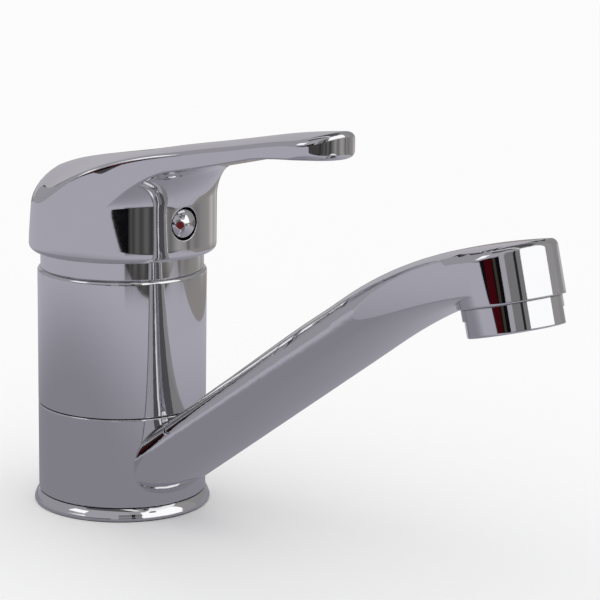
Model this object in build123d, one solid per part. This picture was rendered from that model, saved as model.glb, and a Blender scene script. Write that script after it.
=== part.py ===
"""Single-lever basin mixer tap with a low swivel spout, as an assembly of separate pieces.

Millimetres, +Z up. The origin is the middle of the base on the deck. The spout and the lever
point along -Y, and the tap is symmetric about X = 0.
"""
from build123d import *
import os
from math import cos, pi, radians, sin, sqrt, tan

# Body and collar
BODY_R = 25.0
FOOT_R = 17.0
STEM_R = 20.0
COLLAR_BORE_R = 20.3
RING_TOP = 3.7
COLLAR_BOTTOM = 3.95
COLLAR_TOP = 30.5
CUP_BOTTOM = 30.75
CUP_TOP = 71.3
CUP_SHOULDER = 1.1
SEAM_EDGE = 0.25
FIT = 0.05
CUT = 1.0  # how far a cut runs past the face that it opens

# Water ways in the body
INLET_X = 7.2
INLET_Y = -6.6
INLET_THREAD_R = 4.5
INLET_THREAD_DEPTH = 12.0
INLET_WAY_R = 3.2
STUD_Y = 10.5
STUD_R = 3.4
STUD_DEPTH = 18.0
OUTLET_Y = 2.5
OUTLET_R = 3.0
GROOVE_R = 16.5
GROOVE_BOTTOM = 12.5
GROOVE_TOP = 21.5
SEAL_HEIGHTS = (9.6, 24.4)
SEAL_SECTION_R = 1.15
SEAL_GROOVE_HALF = 1.35
SLIDE_RING_R = 21.4
SLIDE_RING_HEIGHT = 2.9
SLIDE_RING_PLAY = 0.1

# Base ring and gasket
# Points of (radius, height) up the bulging rim of the base ring
RING_RIM = ((26.05, 0.0), (26.3, 0.6), (26.1, 1.6), (25.65, 2.7), (24.8, RING_TOP))
GASKET_INNER_R = 19.5
GASKET_OUTER_R = 23.5
GASKET_DEPTH = 1.2

# Cartridge of 40 mm diameter
CAVITY_R = 20.15
CAVITY_FLOOR = 38.0
THREAD_BORE_R = 21.0
THREAD_BOTTOM = 61.5
CARTRIDGE_R = 20.0
CARTRIDGE_BASE_TOP = 43.0
HOUSING_SHOULDER = 63.5
HOUSING_NECK_R = 17.5
HOUSING_TOP = 74.5
DISC_CHAMBER_R = 17.6
DISC_CHAMBER_TOP = 58.1
ROTOR_BORE_R = 14.6
ROTOR_R = 14.53
ROTOR_BOTTOM = 58.4
ROTOR_TOP = 75.2
PORT_R = 3.0
PORT_SEAL = 1.65
PORT_SEAL_DEPTH = 1.5
PEG_X = 15.0
PEG_Y = 6.0
PEG_R = 2.0
PEG_LENGTH = 3.0
PEG_HOLE_DEPTH = 3.2
FIXED_DISC_R = 17.4
FIXED_DISC_TOP = 47.5
DISC_PORT_R = 2.6
MOVING_DISC_R = 14.6
MOVING_DISC_TOP = 51.5
MIXING_HOLLOW_R = 6.2
MIXING_HOLLOW_DEPTH = 2.2
DISC_REST_Y = 1.9
CARRIER_R = 13.2
CARRIER_TOP = 57.7
BALL_R = 3.5
BALL_ARM = 9.0
POCKET_R = 3.8
POCKET_PLAY = 0.3
PIVOT_Z = 65.0
PIN_R = 2.0
PIN_HALF = 13.0
PIN_PLAY = 0.07
STEM_HALF = 4.5
STEM_TOP = 97.0
STEM_CHAMFER = 0.8
STEM_NECK_R = 2.6
SLOT_FRONT = -9.0
SLOT_BACK = 10.0
SLOT_PLAY = 0.5

# Nut and cap ring
NUT_BORE_R = 17.8
NUT_COLLAR_R = 21.9
NUT_TOP = 75.0
CAP_R = 24.1
CAP_BORE_R = 22.0
CAP_SHELL = 1.4
CAP_SPHERE_R = 27.2
CAP_OPENING_R = 18.6
CAP_SEAL_R = 0.7
CAP_SEAL_Z = 73.2
CAP_GROOVE_HALF = 0.8

# Lever handle
SKIRT_R = 27.8
SKIRT_BORE_R = 25.6
SKIRT_BOTTOM = 76.8
SKIRT_EDGE = 1.6
FLARE_START = 92.6
FLARE_R = 12.2
ARM_HALF = 10.0
ARM_SLOPE = 13.5
ARM_PLAN_FILLET = 56.0
ARM_FLAT_START = (66.0, 111.25)
ARM_FLAT_MIDDLE = (78.0, 112.65)
TIP_REACH = 90.6
TIP_UNDERSIDE = 113.0
FORM_CEILING = 133.0  # height where the forms that shape the handle end, above all of it
FORM_FLOOR = 64.8
# Sections under the handle's top: reach, half width, height of the crown and its radius
TOP_STATIONS = (
    (-30.0, 31.0, 93.0, 44.0),
    (-24.0, 31.0, 98.8, 42.0),
    (-16.0, 31.0, 102.1, 44.0),
    (-6.0, 31.0, 104.0, 45.0),
    (6.0, 30.0, 106.1, 60.0),
    (18.0, 24.0, 108.3, 82.0),
    (29.0, 17.0, 110.5, 60.0),
    (40.0, 14.0, 112.5, 35.0),
    (58.0, 13.5, 115.8, 27.5),
    (75.0, 13.5, 118.9, 27.0),
    (95.0, 13.5, 121.3, 26.5),
)
TOP_WALL = 2.6
HUB_R = 8.0
HUB_BOTTOM = 83.5
WEB_HALF = 5.0
WEB_GAP = 1.0
SOCKET_TOP = 97.2
PLUG_Z = 87.5
PLUG_R = 4.65
PLUG_HOLE_R = 4.85
PLUG_SEAT = 26.1
PLUG_RIM = 26.7
PLUG_DOME_R = 5.26
PLUG_SHANK_R = 2.9
PLUG_SHANK_END = 21.0
DOT_R = 1.1
DOT_X = 2.7
DOT_DEPTH = 0.5
DOT_SINK = 0.1
SCREW_R = 2.5
SCREW_LENGTH = 8.0
SCREW_HEX = 2.5
SCREW_HEX_DEPTH = 3.0
KEY_WAY_R = 3.0

# Spout
SPOUT_SLOPE = 34.9
SPOUT_HALF = 13.4
SPOUT_HALF_DEPTH = 8.85
SPOUT_SQUARENESS = 2.3
SPOUT_MIDDLE = (60.0, 42.65)  # reach and height of a point on the straight run's centre line
SPOUT_ROOT = 12.0
STRAIGHT_END = 84.0
STRAIGHT_SPANS = 5
# Sections of the bend: reach, height, slope, half width, half depth and squareness
BEND_STATIONS = (
    (98.0, 68.9, 33.8, 13.4, 8.5, 2.4),
    (110.0, 76.9, 30.5, 13.8, 8.1, 2.6),
    (122.0, 83.5, 25.0, 14.6, 7.5, 2.9),
    (134.0, 88.6, 19.3, 15.4, 7.05, 3.1),
    (146.0, 92.2, 13.5, 15.8, 6.8, 3.1),
    (158.0, 94.9, 11.0, 15.8, 6.5, 3.1),
    (170.0, 97.1, 10.0, 15.8, 6.3, 3.1),
)
SECTION_POINTS = 20
SPOUT_WALL = 3.0
WAY_START = 18.0
WAY_STATIONS = 10
WAY_SQUARENESS = 2.0
HEAD_R = 13.7
OUTLET_REACH = 151.1
OUTLET_Z = 77.7
OUTLET_TILT = 15.0
HEAD_RIM = 7.4
HEAD_DISC_TOP = 15.4
STRIP_BACK = 30.0  # how far the strip that trims the head runs back past the axis
STRIP_LOW = -80.0
STRIP_HIGH = 60.0
AERATOR_BORE_R = 12.05
SHANK_TOP = 13.0
WASHER_TOP = 14.5
CHAMBER_R = 10.5
CHAMBER_TOP = 18.8

# Aerator
AERATOR_R = 12.74
AERATOR_STEP = 4.3
AERATOR_FLAT = 12.1
AERATOR_EDGE = 0.5
FLAT_TURNS = (-45, 135)
FLAT_BOX = (60.0, 20.0, 10.0)
AERATOR_SHANK_R = 12.0
AERATOR_MOUTH_R = 10.95
AERATOR_INNER_R = 10.3
INSERT_BOTTOM = 1.6
INSERT_WALL = 1.2
INSERT_GRID = 3.0
INSERT_POST_R = 2.0
INSERT_HOLE_R = 0.8
INSERT_RINGS = 3
INSERT_PITCH = 2.6
WASHER_INNER_R = 9.0
SCREEN_THICKNESS = 0.5
SCREEN_HOLE_R = 0.55
SCREEN_RINGS = 4
SCREEN_PITCH = 2.2


def ring(inner, outer, bottom, top):
    """Plain ring about the vertical axis."""
    return Pos(0, 0, bottom) * extrude(Circle(outer) - Circle(inner), top - bottom)


def disc(radius, bottom, top, x=0.0, y=0.0):
    """Plain upright cylinder between two heights."""
    return Pos(x, y, bottom) * extrude(Circle(radius), top - bottom)


def along_y(radius, start, end, z):
    """Cylinder that lies along Y at X = 0, from start to end."""
    return Pos(0, (start + end) / 2, z) * Rot(90, 0, 0) * Cylinder(radius, abs(end - start))


def o_ring(radius, section, z):
    """Round-section ring about the vertical axis."""
    return Pos(0, 0, z) * Torus(radius, section)


def port_places():
    """Hot inlet, cold inlet and mixed outlet, as seen from above."""
    return ((-INLET_X, INLET_Y), (INLET_X, INLET_Y), (0.0, OUTLET_Y))


def valve_body():
    """Brass body: the stem that carries the collar, and the cup that holds the cartridge."""
    body = disc(FOOT_R, 0, RING_TOP) + disc(STEM_R, RING_TOP, CUP_BOTTOM)
    cup = disc(BODY_R, CUP_BOTTOM, CUP_TOP)
    cup = fillet(cup.edges().group_by(Axis.Z)[-1], CUP_SHOULDER)
    cup = fillet(cup.edges().group_by(Axis.Z)[0], SEAM_EDGE)
    body += cup
    body -= disc(CAVITY_R, CAVITY_FLOOR, CUP_TOP + CUT)
    body -= disc(THREAD_BORE_R, THREAD_BOTTOM, CUP_TOP + CUT)
    for x, y in port_places()[:2]:
        body -= disc(INLET_THREAD_R, -CUT, INLET_THREAD_DEPTH, x, y)
        body -= disc(INLET_WAY_R, 0, CAVITY_FLOOR + CUT, x, y)
    body -= disc(STUD_R, -CUT, STUD_DEPTH, 0, STUD_Y)
    middle = (GROOVE_BOTTOM + GROOVE_TOP) / 2
    body -= disc(OUTLET_R, middle, CAVITY_FLOOR + CUT, 0, OUTLET_Y)
    body -= Pos(0, OUTLET_Y, middle) * Rot(0, 90, 0) * Cylinder(OUTLET_R, 2 * (STEM_R + CUT))
    body -= ring(GROOVE_R, STEM_R + CUT, GROOVE_BOTTOM, GROOVE_TOP)
    groove_floor = COLLAR_BORE_R - FIT - 2 * SEAL_SECTION_R
    for z in SEAL_HEIGHTS:
        body -= ring(groove_floor, STEM_R + CUT, z - SEAL_GROOVE_HALF, z + SEAL_GROOVE_HALF)
    for x in (-PEG_X, PEG_X):
        body -= disc(PEG_R + FIT, CAVITY_FLOOR - PEG_HOLE_DEPTH, CAVITY_FLOOR + CUT, x, PEG_Y)
    return body


def base_ring():
    """Chromed brass ring that screws on the foot, keeps the collar up and holds the gasket."""
    foot, bulge, waist, shoulder, lip = RING_RIM
    bore = FOOT_R + FIT
    edge = (
        Line((bore, 0), foot)
        + ThreePointArc(foot, bulge, waist)
        + ThreePointArc(waist, shoulder, lip)
        + Line(lip, (bore, RING_TOP))
        + Line((bore, RING_TOP), (bore, 0))
    )
    body = revolve(Plane.XZ * make_face(edge), axis=Axis.Z)
    return body - ring(GASKET_INNER_R, GASKET_OUTER_R, -CUT, GASKET_DEPTH)


def base_gasket():
    """Rubber ring in the underside of the base ring, flush with it once the tap is tight."""
    return ring(GASKET_INNER_R + FIT, GASKET_OUTER_R - FIT, 0, GASKET_DEPTH)


def collar_seals():
    """The two O-rings on the stem, above and below the water groove."""
    radius = COLLAR_BORE_R - FIT - SEAL_SECTION_R
    return Compound(children=[o_ring(radius, SEAL_SECTION_R, z) for z in SEAL_HEIGHTS])


def slide_rings():
    """The two nylon rings that the collar turns on, at its top and bottom."""
    low = ring(STEM_R, SLIDE_RING_R, RING_TOP, RING_TOP + SLIDE_RING_HEIGHT)
    high = ring(STEM_R, SLIDE_RING_R, CUP_BOTTOM - SLIDE_RING_HEIGHT, CUP_BOTTOM)
    return Compound(children=[low, high])


def cartridge_base():
    """Plastic floor of the cartridge, with three ports and two pegs that stop it turning."""
    body = disc(CARTRIDGE_R, CAVITY_FLOOR, CARTRIDGE_BASE_TOP)
    for x, y in port_places():
        body -= disc(PORT_R, CAVITY_FLOOR - CUT, CARTRIDGE_BASE_TOP + CUT, x, y)
        seat = PORT_R + PORT_SEAL + FIT
        body -= disc(seat, CAVITY_FLOOR - CUT, CAVITY_FLOOR + PORT_SEAL_DEPTH, x, y)
    for x in (-PEG_X, PEG_X):
        body += disc(PEG_R, CAVITY_FLOOR - PEG_LENGTH, CAVITY_FLOOR, x, PEG_Y)
    return body


def port_seals():
    """Rubber rings in the floor of the cartridge, one round each port."""
    seal = ring(PORT_R, PORT_R + PORT_SEAL, CAVITY_FLOOR, CAVITY_FLOOR + PORT_SEAL_DEPTH)
    return Compound(children=[Pos(x, y, 0) * seal for x, y in port_places()])


def fixed_disc():
    """Ceramic disc that stands still, with one slot over each port."""
    body = disc(FIXED_DISC_R, CARTRIDGE_BASE_TOP, FIXED_DISC_TOP)
    for x, y in port_places():
        body -= disc(DISC_PORT_R, CARTRIDGE_BASE_TOP - CUT, FIXED_DISC_TOP + CUT, x, y)
    return body


def moving_disc():
    """Ceramic disc that slides and turns on the fixed disc. Its hollow joins the ports."""
    body = disc(MOVING_DISC_R, FIXED_DISC_TOP, MOVING_DISC_TOP, 0, DISC_REST_Y)
    return body - disc(MIXING_HOLLOW_R, 0, FIXED_DISC_TOP + MIXING_HOLLOW_DEPTH)


def disc_carrier():
    """Plastic saddle that is keyed to the moving disc and takes the ball of the stem."""
    body = disc(CARRIER_R, MOVING_DISC_TOP, CARRIER_TOP, 0, DISC_REST_Y)
    return body - disc(POCKET_R, PIVOT_Z - BALL_ARM - BALL_R - POCKET_PLAY, CARRIER_TOP + CUT)


def cartridge_housing():
    """Plastic shell of the cartridge, with a wide lower part and a neck that guides the rotor."""
    body = disc(CARTRIDGE_R, CARTRIDGE_BASE_TOP, HOUSING_SHOULDER)
    body += disc(HOUSING_NECK_R, HOUSING_SHOULDER, HOUSING_TOP)
    body -= disc(DISC_CHAMBER_R, CARTRIDGE_BASE_TOP - CUT, DISC_CHAMBER_TOP)
    return body - disc(ROTOR_BORE_R, DISC_CHAMBER_TOP - CUT, HOUSING_TOP + CUT)


def stem_carrier():
    """Plastic rotor that turns in the neck and carries the pivot pin. The stem tilts in its slot."""
    body = disc(ROTOR_R, ROTOR_BOTTOM, ROTOR_TOP)
    slot = Box(2 * STEM_HALF + SLOT_PLAY, SLOT_BACK - SLOT_FRONT, 2 * (ROTOR_TOP - ROTOR_BOTTOM))
    body -= Pos(0, (SLOT_FRONT + SLOT_BACK) / 2, PIVOT_Z) * slot
    return body - Pos(0, 0, PIVOT_Z) * Rot(0, 90, 0) * Cylinder(PIN_R, 2 * (ROTOR_R + CUT))


def stem_pin():
    """Steel pin that the stem tilts on."""
    return Pos(0, 0, PIVOT_Z) * Rot(0, 90, 0) * Cylinder(PIN_R, 2 * PIN_HALF)


def cartridge_stem():
    """Brass stem: a square upper end for the handle, an eye for the pin and a ball below."""
    square = Pos(0, 0, (PIVOT_Z + STEM_TOP) / 2) * Box(
        2 * STEM_HALF, 2 * STEM_HALF, STEM_TOP - PIVOT_Z
    )
    square = chamfer(square.edges().group_by(Axis.Z)[-1], STEM_CHAMFER)
    eye = Pos(0, 0, PIVOT_Z) * Rot(0, 90, 0) * Cylinder(STEM_HALF, 2 * STEM_HALF)
    ball_z = PIVOT_Z - BALL_ARM
    body = square + eye + disc(STEM_NECK_R, ball_z, PIVOT_Z) + Pos(0, 0, ball_z) * Sphere(BALL_R)
    return body - Pos(0, 0, PIVOT_Z) * Rot(0, 90, 0) * Cylinder(PIN_R + PIN_PLAY, 2 * (STEM_HALF + CUT))


def cartridge_nut():
    """Brass ring nut that holds the cartridge down. Its collar carries the cap ring."""
    body = ring(NUT_BORE_R, THREAD_BORE_R - FIT, HOUSING_SHOULDER, CUP_TOP)
    body += ring(NUT_BORE_R, NUT_COLLAR_R, CUP_TOP, NUT_TOP)
    groove_floor = CAP_BORE_R - FIT - 2 * CAP_SEAL_R
    low = CAP_SEAL_Z - CAP_GROOVE_HALF
    return body - ring(groove_floor, NUT_COLLAR_R + CUT, low, CAP_SEAL_Z + CAP_GROOVE_HALF)


def cap_seal():
    """Rubber ring on the collar of the nut. It grips the cap ring."""
    return o_ring(CAP_BORE_R - FIT - CAP_SEAL_R, CAP_SEAL_R, CAP_SEAL_Z)


def cap_ring():
    """Chromed cap between body and handle, with a round shoulder centred on the lever's pivot."""
    radii = (CAP_R, (CAP_R + CAP_OPENING_R) / 2, CAP_OPENING_R)
    corner, middle, lip = [(r, PIVOT_Z + sqrt(CAP_SPHERE_R**2 - r**2)) for r in radii]
    inner_lip = (CAP_OPENING_R, lip[1] - CAP_SHELL)
    inner_corner = (CAP_BORE_R, corner[1] - CAP_SHELL / 2)
    outline = (
        Line((CAP_BORE_R, CUP_TOP), (CAP_R, CUP_TOP))
        + Line((CAP_R, CUP_TOP), corner)
        + ThreePointArc(corner, middle, lip)
        + Line(lip, inner_lip)
        + Line(inner_lip, inner_corner)
        + Line(inner_corner, (CAP_BORE_R, CUP_TOP))
    )
    return revolve(Plane.XZ * make_face(outline), axis=Axis.Z)


def flare_form():
    """Everything above the skirt's foot and the arm's underside, turned about the axis."""
    angle = radians(90 + ARM_SLOPE)
    centre = (SKIRT_R + FLARE_R, FLARE_START)
    flare_end = (centre[0] + FLARE_R * cos(angle), centre[1] + FLARE_R * sin(angle))
    middle_angle = radians(135 + ARM_SLOPE / 2)
    flare_middle = (
        centre[0] + FLARE_R * cos(middle_angle),
        centre[1] + FLARE_R * sin(middle_angle),
    )
    outer = TIP_REACH + CUT
    edge_r = SKIRT_R - SKIRT_EDGE
    edge_z = SKIRT_BOTTOM + SKIRT_EDGE
    outline = (
        Line((0, SKIRT_BOTTOM), (edge_r, SKIRT_BOTTOM))
        + CenterArc((edge_r, edge_z), SKIRT_EDGE, 270, 90)
        + Line((SKIRT_R, edge_z), (SKIRT_R, FLARE_START))
        + ThreePointArc((SKIRT_R, FLARE_START), flare_middle, flare_end)
        + Line(flare_end, ARM_FLAT_START)
        + ThreePointArc(ARM_FLAT_START, ARM_FLAT_MIDDLE, (TIP_REACH, TIP_UNDERSIDE))
        + Line((TIP_REACH, TIP_UNDERSIDE), (outer, TIP_UNDERSIDE))
        + Line((outer, TIP_UNDERSIDE), (outer, FORM_CEILING))
        + Line((outer, FORM_CEILING), (0, FORM_CEILING))
        + Line((0, FORM_CEILING), (0, SKIRT_BOTTOM))
    )
    return revolve(Plane.XZ * make_face(outline), axis=Axis.Z)


def plan_form():
    """Outline of the handle from above, a round skirt that runs into a slim round-ended arm."""
    centre = TIP_REACH - ARM_HALF
    plan = Circle(SKIRT_R) + Pos(0, -centre / 2) * Rectangle(2 * ARM_HALF, centre)
    plan += Pos(0, -centre) * Circle(ARM_HALF)
    corners = [v for v in plan.vertices() if -SKIRT_R < v.Y < -SKIRT_R / 2]
    plan = fillet(corners, ARM_PLAN_FILLET)
    return Pos(0, 0, SKIRT_BOTTOM) * extrude(plan, FORM_CEILING - SKIRT_BOTTOM)


def top_section(reach, half_width, crown_z, crown_r):
    """Upright section of the form under the handle's top, with a crowned upper edge."""
    edge_z = crown_z - crown_r + sqrt(crown_r**2 - half_width**2)
    outline = (
        Line((-half_width, FORM_FLOOR), (half_width, FORM_FLOOR))
        + Line((half_width, FORM_FLOOR), (half_width, edge_z))
        + ThreePointArc((half_width, edge_z), (0, crown_z), (-half_width, edge_z))
        + Line((-half_width, edge_z), (-half_width, FORM_FLOOR))
    )
    return Plane(origin=(0, -reach, 0), x_dir=(1, 0, 0), z_dir=(0, -1, 0)) * make_face(outline)


def top_form():
    """Form under the handle's top: a dome at the back that eases into the crowned arm."""
    return loft([top_section(*station) for station in TOP_STATIONS])


def lever_handle():
    """Cast zinc handle: skirt, flared neck and arm in one piece, with a hub for the stem."""
    top = top_form()
    outer = flare_form() & plan_form() & top
    cavity = disc(SKIRT_BORE_R, SKIRT_BOTTOM - CUT, FORM_CEILING) & (Pos(0, 0, -TOP_WALL) * top)
    hub = disc(HUB_R, HUB_BOTTOM, FORM_CEILING)
    web_length = SKIRT_BORE_R + CUT
    web_height = FORM_CEILING - HUB_BOTTOM
    web = Box(2 * WEB_HALF, web_length, web_height)
    web = Pos(0, -web_length / 2, HUB_BOTTOM + web_height / 2) * web
    cap_space = Pos(0, 0, PIVOT_Z) * Sphere(CAP_SPHERE_R + WEB_GAP)
    web -= cap_space - disc(CAP_OPENING_R - WEB_GAP, PIVOT_Z, FORM_CEILING)
    body = outer - (cavity - hub - web)
    socket_height = SOCKET_TOP - HUB_BOTTOM + CUT
    socket = Box(2 * STEM_HALF + 2 * FIT, 2 * STEM_HALF + 2 * FIT, socket_height)
    body -= Pos(0, 0, SOCKET_TOP - socket_height / 2) * socket
    body -= along_y(SCREW_R, -STEM_HALF, -STEM_HALF - SCREW_LENGTH - CUT, PLUG_Z)
    body -= along_y(KEY_WAY_R, -STEM_HALF - SCREW_LENGTH, -SKIRT_R - CUT, PLUG_Z)
    return body - along_y(PLUG_HOLE_R, -PLUG_SEAT, -SKIRT_R - CUT, PLUG_Z)


def set_screw():
    """Headless steel screw that clamps the handle on the stem, with a hexagon socket."""
    start = -STEM_HALF - FIT
    end = start - SCREW_LENGTH
    body = along_y(SCREW_R, start, end, PLUG_Z)
    socket = extrude(RegularPolygon(SCREW_HEX / 2, 6, major_radius=False), SCREW_HEX_DEPTH)
    return body - Pos(0, end, PLUG_Z) * Rot(-90, 0, 0) * socket


def dome_middle():
    """Reach of the middle of the sphere that the button's dome is part of."""
    return PLUG_RIM - sqrt(PLUG_DOME_R**2 - PLUG_R**2)


def dot_place(side):
    """Plane on the button's dome where a dot sits, square to it: -1 hot, 1 cold."""
    out = (side * DOT_X, 0, sqrt(PLUG_DOME_R**2 - DOT_X**2))
    return Plane(origin=(out[0], 0, dome_middle() + out[2]), z_dir=out)


def on_skirt(piece):
    """Moves a piece made along +Z to the front of the skirt, where the button is."""
    return Pos(0, 0, PLUG_Z) * Rot(90, 0, 0) * piece


def index_plug():
    """Domed chrome button that closes the screw hole, with a dimple each for the two dots."""
    crown = (0, dome_middle() + PLUG_DOME_R)
    slant = PLUG_DOME_R * sqrt(0.5)
    outline = (
        Line((0, PLUG_SHANK_END), (PLUG_SHANK_R, PLUG_SHANK_END))
        + Line((PLUG_SHANK_R, PLUG_SHANK_END), (PLUG_SHANK_R, PLUG_SEAT))
        + Line((PLUG_SHANK_R, PLUG_SEAT), (PLUG_R, PLUG_SEAT))
        + Line((PLUG_R, PLUG_SEAT), (PLUG_R, PLUG_RIM))
        + ThreePointArc((PLUG_R, PLUG_RIM), (slant, dome_middle() + slant), crown)
        + Line(crown, (0, PLUG_SHANK_END))
    )
    body = revolve(Plane.XZ * make_face(outline), axis=Axis.Z)
    for side in (-1, 1):
        body -= dot_place(side) * Pos(0, 0, -DOT_DEPTH) * extrude(Circle(DOT_R), DOT_DEPTH + CUT)
    return on_skirt(body)


def enamel_dot(side):
    """Round drop of enamel in one dimple of the button."""
    drop = extrude(Circle(DOT_R), DOT_DEPTH - DOT_SINK)
    return on_skirt(dot_place(side) * Pos(0, 0, -DOT_DEPTH) * drop)


def hot_dot():
    """Red enamel dot on the hot side."""
    return enamel_dot(-1)


def cold_dot():
    """Blue enamel dot on the cold side."""
    return enamel_dot(1)


def outlet_plane(height=0.0):
    """Plane across the outlet, at a height up its tilted axis. X stays X."""
    tilt = radians(OUTLET_TILT)
    up = (0, sin(tilt), cos(tilt))
    origin = (0, -OUTLET_REACH + height * up[1], OUTLET_Z + height * up[2])
    return Plane(origin=origin, x_dir=(1, 0, 0), z_dir=up)


def outlet_disc(radius, bottom, top):
    """Cylinder on the outlet's axis."""
    return outlet_plane(bottom) * extrude(Circle(radius), top - bottom)


def outlet_ring(inner, outer, bottom, top):
    """Ring on the outlet's axis."""
    return outlet_plane(bottom) * extrude(Circle(outer) - Circle(inner), top - bottom)


def spout_section(reach, z, slope, half_width, half_depth, squareness):
    """Closed oval section square to the spout. At squareness 2 it is an ellipse."""
    points = []
    for i in range(SECTION_POINTS):
        angle = 2 * pi * i / SECTION_POINTS
        c, s = cos(angle), sin(angle)
        x = half_width * abs(c) ** (2 / squareness) * (1 if c >= 0 else -1)
        y = half_depth * abs(s) ** (2 / squareness) * (1 if s >= 0 else -1)
        points.append((x, y))
    plane = Plane(
        origin=(0, -reach, z),
        x_dir=(1, 0, 0),
        z_dir=(0, -cos(radians(slope)), sin(radians(slope))),
    )
    return plane * make_face(Spline(*points, periodic=True))


def straight_centre(reach):
    """Height of the middle of the spout's straight run at a distance from the axis."""
    return SPOUT_MIDDLE[1] + (reach - SPOUT_MIDDLE[0]) * tan(radians(SPOUT_SLOPE))


def spout_stations(start):
    """Reach, height, slope, half width, half depth and squareness of the spout's sections."""
    step = (STRAIGHT_END - start) / STRAIGHT_SPANS
    reaches = [start + i * step for i in range(STRAIGHT_SPANS + 1)]
    size = (SPOUT_SLOPE, SPOUT_HALF, SPOUT_HALF_DEPTH, SPOUT_SQUARENESS)
    return [(reach, straight_centre(reach), *size) for reach in reaches] + list(BEND_STATIONS)


def spout():
    """Chromed brass spout: a collar round the stem, a flat oval tube and a round head."""
    tube = loft([spout_section(*station) for station in spout_stations(SPOUT_ROOT)])
    length = OUTLET_REACH + STRIP_BACK
    strip = Pos(0, length / 2) * Rectangle(2 * HEAD_R, length) + Circle(HEAD_R)
    tube &= outlet_plane(STRIP_LOW) * extrude(strip, STRIP_HIGH - STRIP_LOW)
    head = outlet_disc(HEAD_R, HEAD_RIM, HEAD_DISC_TOP)
    collar = disc(BODY_R, COLLAR_BOTTOM, COLLAR_TOP)
    collar = fillet(collar.edges().filter_by(GeomType.CIRCLE), SEAM_EDGE)
    body = tube + head + collar
    body -= disc(COLLAR_BORE_R, 0, COLLAR_TOP + CUT)
    seat_r = SLIDE_RING_R + FIT
    body -= disc(seat_r, 0, RING_TOP + SLIDE_RING_HEIGHT + SLIDE_RING_PLAY)
    body -= disc(seat_r, CUP_BOTTOM - SLIDE_RING_HEIGHT - SLIDE_RING_PLAY, COLLAR_TOP + CUT)
    way = []
    for reach, z, slope, _, half_depth, _ in spout_stations(WAY_START)[:WAY_STATIONS]:
        size = (SPOUT_HALF - SPOUT_WALL, half_depth - SPOUT_WALL, WAY_SQUARENESS)
        way.append(spout_section(reach, z, slope, *size))
    body -= loft(way)
    body -= outlet_disc(AERATOR_BORE_R, HEAD_RIM - CUT, WASHER_TOP)
    return body - outlet_disc(CHAMBER_R, WASHER_TOP - CUT, CHAMBER_TOP)


def aerator_housing():
    """Chromed brass sleeve screwed into the head, with two flats for a spanner."""
    body = outlet_disc(AERATOR_R, 0, HEAD_RIM - FIT)
    body = fillet(body.edges().group_by(Axis.Z)[0], AERATOR_EDGE)
    body += outlet_disc(AERATOR_SHANK_R, HEAD_RIM - FIT, SHANK_TOP)
    width, depth, below = FLAT_BOX
    flat = Box(width, depth, AERATOR_STEP + below)
    flat = Pos(0, AERATOR_FLAT + depth / 2, (AERATOR_STEP - below) / 2) * flat
    for turn in FLAT_TURNS:
        body -= outlet_plane() * Rot(0, 0, turn + 90) * flat
    body -= outlet_disc(AERATOR_MOUTH_R, -CUT, INSERT_BOTTOM - SCREEN_THICKNESS)
    return body - outlet_disc(AERATOR_INNER_R, -CUT, SHANK_TOP + CUT)


def aerator_insert():
    """Plastic flow straightener in the sleeve, with a grid below and an open cup above."""
    radius = AERATOR_INNER_R - FIT
    body = outlet_disc(radius, INSERT_BOTTOM, SHANK_TOP)
    body -= outlet_disc(radius - INSERT_WALL, INSERT_BOTTOM + INSERT_GRID, SHANK_TOP + CUT)
    body += outlet_disc(INSERT_POST_R, INSERT_BOTTOM, SHANK_TOP - CUT)
    holes = [Pos(x, y) * Circle(INSERT_HOLE_R) for x, y in ring_places(INSERT_RINGS, INSERT_PITCH)]
    drill = extrude(Sketch() + holes, INSERT_GRID + 2 * CUT)
    return body - outlet_plane(INSERT_BOTTOM - CUT) * drill


def ring_places(rings, pitch):
    """Places on rings about a middle, six more on each ring."""
    places = []
    for ring_number in range(1, rings + 1):
        count = 6 * ring_number
        for i in range(count):
            angle = 2 * pi * i / count
            radius = pitch * ring_number
            places.append((radius * cos(angle), radius * sin(angle)))
    return places


def aerator_screen():
    """Steel screen across the mouth, a thin disc with rings of round holes."""
    plate = Circle(AERATOR_INNER_R - FIT)
    places = [(0.0, 0.0)] + ring_places(SCREEN_RINGS, SCREEN_PITCH)
    holes = [Pos(x, y) * Circle(SCREEN_HOLE_R) for x, y in places]
    return outlet_plane(INSERT_BOTTOM - SCREEN_THICKNESS) * extrude(plate - holes, SCREEN_THICKNESS)


def aerator_washer():
    """Flat rubber washer between the sleeve and the seat in the head."""
    return outlet_ring(WASHER_INNER_R, AERATOR_SHANK_R - FIT, SHANK_TOP, WASHER_TOP)


PIECES = (
    valve_body,
    base_ring,
    base_gasket,
    collar_seals,
    slide_rings,
    cartridge_base,
    port_seals,
    fixed_disc,
    cartridge_housing,
    cartridge_nut,
    cap_seal,
    cap_ring,
    spout,
    aerator_housing,
    aerator_insert,
    aerator_screen,
    aerator_washer,
    stem_carrier,
    stem_pin,
    lever_handle,
    cartridge_stem,
    set_screw,
    index_plug,
    hot_dot,
    cold_dot,
    moving_disc,
    disc_carrier,
)

os.makedirs("parts", exist_ok=True)
for piece in PIECES:
    export_step(piece(), f"parts/{piece.__name__}.step")
    print(piece.__name__)
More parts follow.
